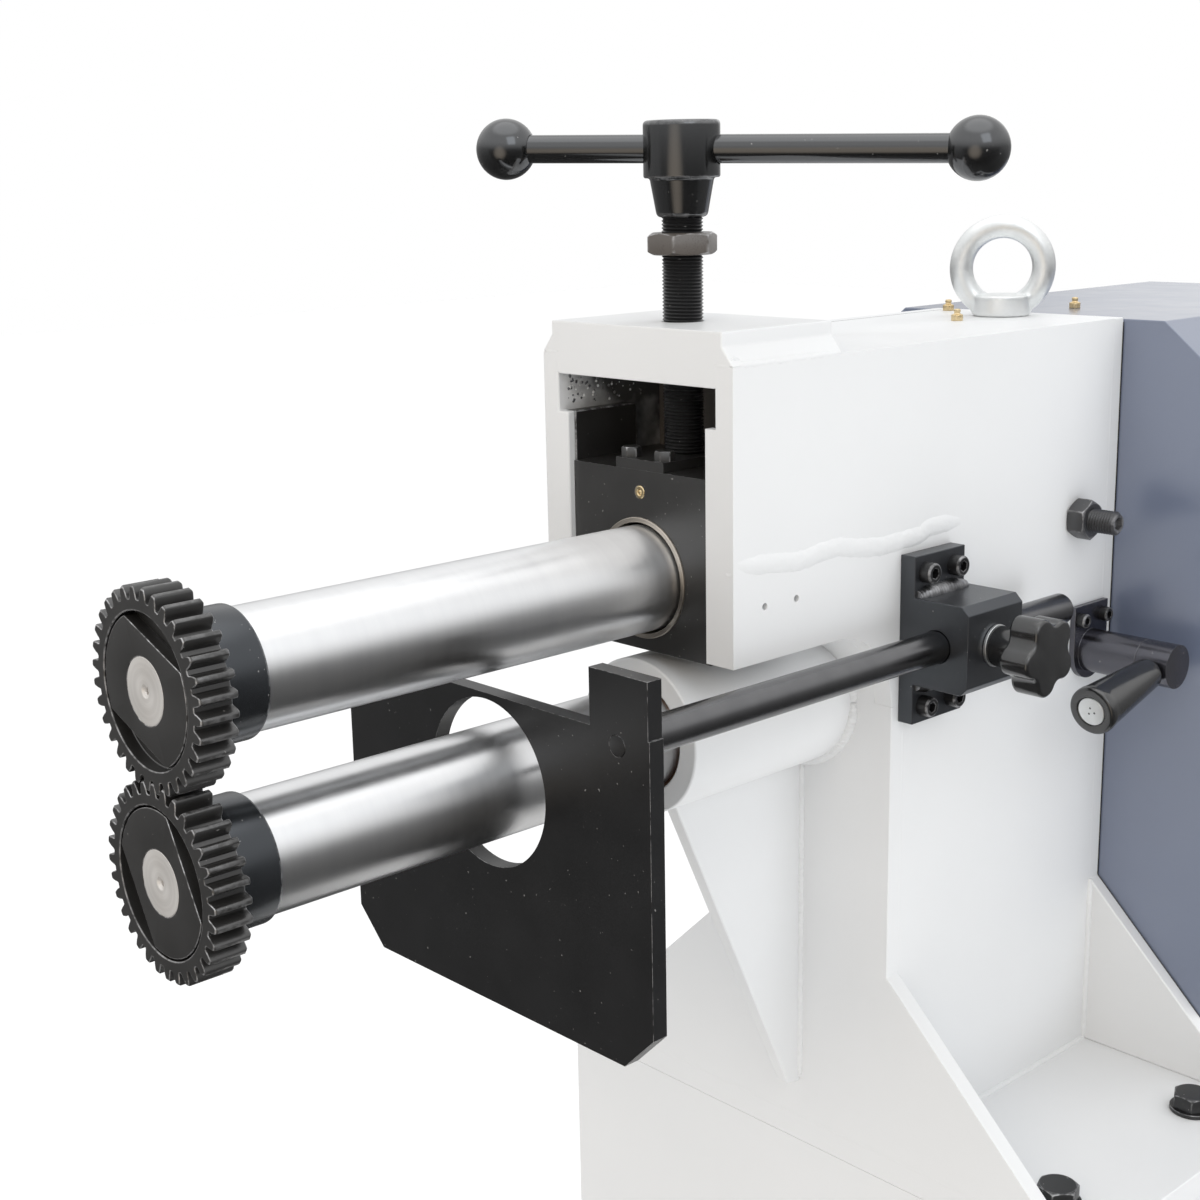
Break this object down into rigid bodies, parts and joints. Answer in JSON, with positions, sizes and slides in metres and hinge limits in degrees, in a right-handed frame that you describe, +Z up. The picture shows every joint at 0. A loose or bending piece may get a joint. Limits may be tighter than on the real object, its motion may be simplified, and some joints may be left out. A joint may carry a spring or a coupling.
{
  "type": "swaging machine",
  "caption": "Motor-driven swaging machine on a floor stand: overhung shafts with meshing toothed rolls, a hand screw that lifts the upper shaft, a sliding gauge and an axial shift lever.",
  "frame": {"origin": "on the floor, at the centre of the four floor anchors", "axes": "+Z up; -Y towards the roll end; +X the side with the gauge clamp and the shift lever"},
  "size_m": [0.564, 1.066, 1.322],
  "materials": {
    "white_paint": "satin off-white paint",
    "slate_paint": "satin slate-grey paint",
    "cast_reducer": "cast",
    "cast_motor": "painted casting",
    "black_oxide": "black oxide",
    "ground_steel": "ground",
    "zinc_plate": "zinc plated",
    "bush_bronze": "bored bronze",
    "bright_brass": "bright",
    "black_plastic": "gloss"
  },
  "bodies": {
    "frame": {"floor_stand": "white_paint", "stand_rear_panel": "white_paint", "stand_feet": "white_paint", "base_plate": "white_paint", "base_bolts": "black_oxide", "front_plate": "white_paint", "rear_plate": "white_paint", "side_plate_left": "white_paint", "side_plate_right": "white_paint", "arm_top_plate": "white_paint", "arm_bulkhead": "white_paint", "nut_block": "white_paint", "guide_strips": "black_oxide", "lower_housing": "white_paint", "housing_gusset": "white_paint", "lower_front_bush": "bush_bronze", "rear_housing": "white_paint", "eye_bolt": "zinc_plate", "grease_nipples": "bright_brass", "trunnion_screws": "black_oxide", "trunnion_nuts": "black_oxide", "clamp_bracket": "black_oxide", "clamp_screws": "black_oxide", "lever_flange": "black_oxide", "lever_flange_screws": "black_oxide", "rear_cover": "slate_paint", "gear_reducer": "cast_reducer", "drive_motor": "cast_motor"},
    "block": {"bearing_block": "black_oxide", "block_bush": "bush_bronze", "keeper_plate": "black_oxide", "keeper_bolts": "black_oxide", "block_oiler": "bright_brass"},
    "screw": {"adjusting_screw": "black_oxide", "handle_hub": "black_oxide"},
    "cross_bar": {"tommy_bar": "black_oxide", "ball_knobs": "black_plastic"},
    "jam_nut": {"lock_nut": "black_oxide"},
    "cradle": {"rear_cradle": "black_oxide", "cradle_bush": "bush_bronze"},
    "upper_line": {"upper_shaft": "ground_steel", "upper_roll": "black_oxide", "upper_collar": "black_oxide", "upper_roll_nut": "black_oxide", "upper_gear": "black_oxide"},
    "sleeve": {"shift_sleeve": "ground_steel"},
    "lower_line": {"lower_shaft": "ground_steel", "lower_roll": "black_oxide", "lower_collar": "black_oxide", "lower_roll_nut": "black_oxide", "lower_gear": "black_oxide", "shaft_coupling": "black_oxide"},
    "reducer_output": {"output_shaft": "ground_steel"},
    "gauge": {"gauge_plate": "black_oxide", "gauge_rod": "black_oxide"},
    "washer": {"knob_washer": "ground_steel"},
    "knob": {"star_knob": "black_plastic"},
    "lever": {"lever_hub": "black_oxide", "grip_axle": "ground_steel"},
    "grip": {"lever_grip": "black_plastic"}
  },
  "joints": [
    {"name": "screw_turn", "type": "hinge", "parent": "block", "child": "screw", "pos_m": [0, -0.4015, 1.1585], "axis": [0, 0, 1], "range_deg": [0, 2160]},
    {"name": "block_slide", "type": "slide", "parent": "frame", "child": "block", "axis": [0, 0, 1], "range_m": [0, 0.01201]},
    {"name": "upper_tilt", "type": "hinge", "parent": "frame", "child": "cradle", "pos_m": [0, -0.1025, 1.0555], "axis": [-1, 0, 0], "range_deg": [0, 2.31]},
    {"name": "lower_spin", "type": "hinge", "parent": "sleeve", "child": "lower_line", "pos_m": [0, -0.1025, 0.9625], "axis": [0, 1, 0], "continuous": true},
    {"name": "upper_spin", "type": "hinge", "parent": "cradle", "child": "upper_line", "pos_m": [0, -0.1025, 1.0585], "axis": [0, 1, 0], "continuous": true},
    {"name": "output_spin", "type": "hinge", "parent": "frame", "child": "reducer_output", "pos_m": [0, 0.0975, 0.9625], "axis": [0, 1, 0], "continuous": true},
    {"name": "lever_turn", "type": "hinge", "parent": "frame", "child": "lever", "pos_m": [0.13655, -0.0845, 0.9605], "axis": [1, 0, 0], "range_deg": [-35.5, 35.5]},
    {"name": "shaft_shift", "type": "slide", "parent": "frame", "child": "sleeve", "axis": [0, 1, 0], "range_m": [-0.00229, 0.00229]},
    {"name": "grip_spin", "type": "hinge", "parent": "lever", "child": "grip", "pos_m": [0.13655, -0.0845, 0.9605], "axis": [0, -0.9848, -0.1736], "continuous": true},
    {"name": "bar_slide", "type": "slide", "parent": "screw", "child": "cross_bar", "axis": [0.8659, 0.4999, -0.0192], "range_m": [-0.125, 0.065]},
    {"name": "lock_nut_run", "type": "slide", "parent": "screw", "child": "jam_nut", "axis": [0, 0, 1], "range_m": [-0.036, 0.008]},
    {"name": "gauge_slide", "type": "slide", "parent": "frame", "child": "gauge", "axis": [0, 1, 0], "range_m": [-0.07, 0.1]},
    {"name": "knob_turn", "type": "hinge", "parent": "washer", "child": "knob", "pos_m": [0.15, -0.266, 1.0075], "axis": [1, 0, 0], "range_deg": [0, 720]},
    {"name": "knob_carry", "type": "slide", "parent": "frame", "child": "washer", "axis": [1, 0, 0], "range_m": [0, 0.00301]}
  ],
  "couplings": [
    {"joint": "block_slide", "follows": "screw_turn", "m_per_rad": 0.00031831},
    {"joint": "upper_tilt", "follows": "screw_turn", "ratio": 0.0010646},
    {"joint": "upper_spin", "follows": "lower_spin", "ratio": -1},
    {"joint": "output_spin", "follows": "lower_spin", "ratio": 1},
    {"joint": "lever_turn", "follows": "shaft_shift", "rad_per_m": -266.31},
    {"joint": "knob_carry", "follows": "knob_turn", "m_per_rad": 0.00023873}
  ]
}
